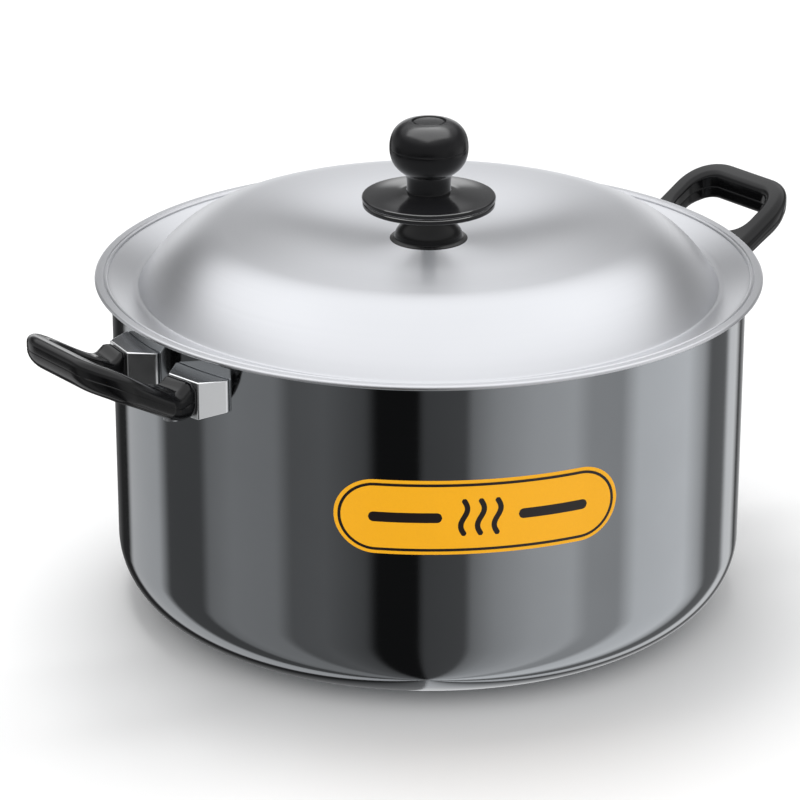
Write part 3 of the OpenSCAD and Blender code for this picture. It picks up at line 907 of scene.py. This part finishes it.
class STEWPOT_OT_stage(bpy.types.Operator):
    """Set the floor, the soft light and the camera"""
    bl_idname = "stewpot.stage"
    bl_label = "Stage"

    def execute(self, context):
        scene = context.scene
        s = scene.stewpot_stage
        floor_rings = (0, 0.4, 1.2, 4, 12)
        verts, faces = lathe([(r, 0) for r in floor_rings], 64)
        mesh = bpy.data.meshes.new("floor")
        mesh.from_pydata(verts, [], faces)
        floor = bpy.data.objects.new("floor", mesh)
        scene.collection.objects.link(floor)
        floor.data.materials.append(matt_floor(scene.stewpot_finish.floor))
        floor.visible_glossy = False
        ahead = Vector((math.sin(s.turn), math.cos(s.turn), 0))
        right = Vector((math.cos(s.turn), -math.sin(s.turn), 0))
        above = ahead * 0.4 - right * 0.1 + Vector((0, 0, 1.5))
        soft_light("overhead", above, (0, 0, 0.1), (0.8, 0.8), s.overhead)
        # a sheet of light over the knob only: it shows on the black moulding and leaves the metal alone
        kicker = soft_light("kicker", Vector((0, 0, 1.3)), (0, 0, 0.2), (1.8, 1.8), s.kicker, True)
        lit = bpy.data.collections.new("lit_by_kicker")
        for name in ("moulded_guard_disc", "moulded_knob_head"):
            lit.objects.link(bpy.data.objects[name])
        kicker.light_linking.receiver_collection = lit
        studio(scene, s.turn)
        target = right * s.aside + Vector((0, 0, s.target))
        view = bpy.data.cameras.new("camera")
        camera = bpy.data.objects.new("camera", view)
        scene.collection.objects.link(camera)
        camera.location = target + s.distance * (Vector((0, 0, math.sin(s.elevation)))
                                                 - ahead * math.cos(s.elevation))
        camera.rotation_euler = (target - camera.location).to_track_quat("-Z", "Y").to_euler()
        view.lens = s.lens
        view.sensor_width = 36.0
        view.clip_end = 50.0
        scene.camera = camera
        scene.view_settings.view_transform = "Standard"
        return {"FINISHED"}


def dress(names, finish):
    """Gives frame nodes a finish in place of their own."""
    for name in names:
        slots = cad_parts[name].data.materials
        slots.clear()
        slots.append(finish)


def soft_light(name, place, target, size, power, mirrored=False):
    """A rectangular soft light that faces its target. It shows in reflections only when mirrored."""
    light = bpy.data.lights.new(name, "AREA")
    light.shape = "RECTANGLE"
    light.size, light.size_y = size
    light.energy = power
    made = bpy.data.objects.new(name, light)
    bpy.context.scene.collection.objects.link(made)
    made.location = place
    made.rotation_euler = (Vector(target) - Vector(place)).to_track_quat("-Z", "Y").to_euler()
    made.visible_glossy = mirrored
    return made


# The surroundings by angle to the right of the camera in degrees, and brightness: upright panels below the
# horizon, a glow at the horizon and a ring above it.
PANELS = [(-180, 0.25), (-155, 0.03), (-146, 0.03), (-141, 0.74), (-117, 0.74), (-110, 0.12), (-91, 0.12),
          (-87, 0.32), (-76, 0.4), (-57, 0.38), (-51, 0.19), (-38, 0.21), (-23, 0.125), (-19, 0.014),
          (-4, 0.014), (-2, 0.11), (13, 0.135), (15.5, 0.34), (24, 0.55), (38, 0.74), (53, 0.84), (60, 0.6),
          (73, 0.57), (81, 1.1), (107, 1.2), (117, 0.72), (123, 0.21), (136, 0.21), (141, 1.0),
          (149, 0.92), (156, 0.05), (180, 0.9)]
HORIZON = [(-180, 1.4), (-165, 1.3), (-152, 0.5), (-125, 0.4), (-112, 0.65), (-90, 0.5), (0, 0.6), (90, 1.0),
           (112, 0.5), (125, 0.4), (152, 0.5), (165, 1.3), (180, 1.4)]
RING = [(-180, 0.4), (-165, 0.3), (-152, 0.15), (-128, 0.15), (-112, 0.45), (-90, 0.45), (0, 0.6), (90, 0.8),
        (112, 0.45), (128, 0.25), (152, 0.25), (165, 0.35), (180, 0.45)]
# The ceiling by height, as the sine of the elevation, and brightness.
CEILING = [(0.0, 1.1), (0.5, 1.3), (0.65, 1.52), (0.8, 1.55), (1.0, 1.4)]
# Where each fades in above the one before it, as sines of the elevation.
HORIZON_FADE = (-0.14, -0.06)
RING_FADE = (0.15, 0.22)
CEILING_FADE = (0.42, 0.54)
EVEN_GLOW = (0.84, 0.84, 0.84, 1)
WHITE = (1, 1, 1, 1)


def greys(table, low, high):
    """Ramp stops, a trace cool, for a table of places between low and high, and brightnesses."""
    return [((place - low) / (high - low), (value, value * 1.005, value * 1.015, 1))
            for place, value in table]


def studio(scene, turn):
    """The surroundings for reflections. The camera sees plain white, and matt surfaces an even glow."""
    world = bpy.data.worlds.new("studio")
    world.use_nodes = True
    scene.world = world
    tree = world.node_tree
    tree.nodes.clear()
    way = node(tree, "ShaderNodeTexCoord").outputs["Generated"]
    # the radial gradient starts at -X, so this turn brings its seam to straight behind the pot
    turned = node(tree, "ShaderNodeVectorRotate", {"Vector": way, "Angle": turn + math.pi / 2},
                  rotation_type="Z_AXIS")
    round_us = node(tree, "ShaderNodeTexGradient", {"Vector": turned.outputs[0]}, gradient_type="RADIAL")
    up = node(tree, "ShaderNodeSeparateXYZ", {0: way}).outputs["Z"]
    panels, horizon, ring = [
        node(tree, "ShaderNodeValToRGB", {0: round_us.outputs["Fac"]}, stops=greys(table, -180, 180))
        for table in (PANELS, HORIZON, RING)]
    ceiling = node(tree, "ShaderNodeValToRGB", {0: up}, stops=greys(CEILING, 0, 1))
    seen = panels.outputs[0]
    for layer, (low, high) in ((horizon, HORIZON_FADE), (ring, RING_FADE), (ceiling, CEILING_FADE)):
        above = node(tree, "ShaderNodeMapRange", {"Value": up, "From Min": low, "From Max": high})
        seen = node(tree, "ShaderNodeMix", {"Factor": above.outputs[0], "A": seen, "B": layer.outputs[0]},
                    data_type="RGBA").outputs["Result"]
    # an even glow on matt surfaces lets the overhead light alone shape the shadow on the floor
    path = node(tree, "ShaderNodeLightPath")
    even = node(tree, "ShaderNodeMix", {"Factor": path.outputs["Is Diffuse Ray"], "A": seen,
                                        "B": EVEN_GLOW}, data_type="RGBA")
    plain = node(tree, "ShaderNodeMix", {"Factor": path.outputs["Is Camera Ray"], "A": even.outputs["Result"],
                                         "B": WHITE}, data_type="RGBA")
    glow = node(tree, "ShaderNodeBackground", {"Color": plain.outputs["Result"], "Strength": 1.0})
    node(tree, "ShaderNodeOutputWorld", {"Surface": glow.outputs[0]})


class STEWPOT_PT_panel(bpy.types.Panel):
    """Sidebar panel with the sizes, the colours and the build steps"""
    bl_idname = "STEWPOT_PT_panel"
    bl_label = "Stewpot"
    bl_space_type = "VIEW_3D"
    bl_region_type = "UI"
    bl_category = "Stewpot"

    def draw(self, context):
        for group, kind in GROUPS.items():
            box = self.layout.box()
            for name in kind.__annotations__:
                box.prop(getattr(context.scene, group), name)
        for step in STEPS:
            self.layout.operator(step.bl_idname)


STEPS = [STEWPOT_OT_pot, STEWPOT_OT_label, STEWPOT_OT_brackets, STEWPOT_OT_handles, STEWPOT_OT_lid,
         STEWPOT_OT_knob, STEWPOT_OT_stage]


def register():
    for group, kind in GROUPS.items():
        bpy.utils.register_class(kind)
        setattr(bpy.types.Scene, group, PointerProperty(type=kind))
    for kind in STEPS + [STEWPOT_PT_panel]:
        bpy.utils.register_class(kind)


def unregister():
    for kind in reversed(STEPS + [STEWPOT_PT_panel]):
        bpy.utils.unregister_class(kind)
    for group, kind in GROUPS.items():
        delattr(bpy.types.Scene, group)
        bpy.utils.unregister_class(kind)


def main():
    register()
    for step in (bpy.ops.stewpot.pot, bpy.ops.stewpot.label, bpy.ops.stewpot.brackets,
                 bpy.ops.stewpot.handles, bpy.ops.stewpot.lid, bpy.ops.stewpot.knob,
                 bpy.ops.stewpot.stage):
        step()


if __name__ == "__main__":
    main()
